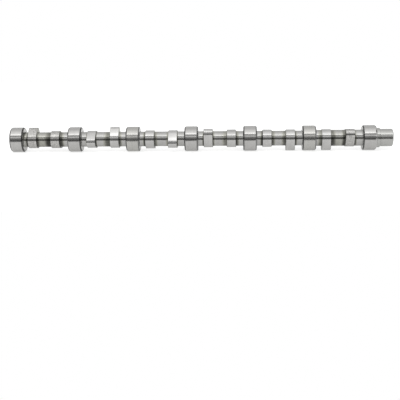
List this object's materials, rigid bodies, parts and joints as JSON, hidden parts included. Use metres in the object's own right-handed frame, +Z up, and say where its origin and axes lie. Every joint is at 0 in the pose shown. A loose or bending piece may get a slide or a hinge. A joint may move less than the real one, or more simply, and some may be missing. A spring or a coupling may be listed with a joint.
{
  "type": "camshaft",
  "caption": "Steel camshaft of an inline engine: ground bearing journals and cam lobes along one shaft, with a collar and a gear seat at one end.",
  "frame": {"origin": "on the shaft's axis, at the middle of the middle bearing journal", "axes": "+X along the shaft towards the gear end, +Z up as in the picture"},
  "size_m": [0.926, 0.06, 0.0598],
  "materials": {
    "ground_steel": "ground and polished journals and lobes, satin turned necks with heat tint"
  },
  "bodies": {
    "root": {"camshaft": "ground_steel"}
  },
  "joints": []
}
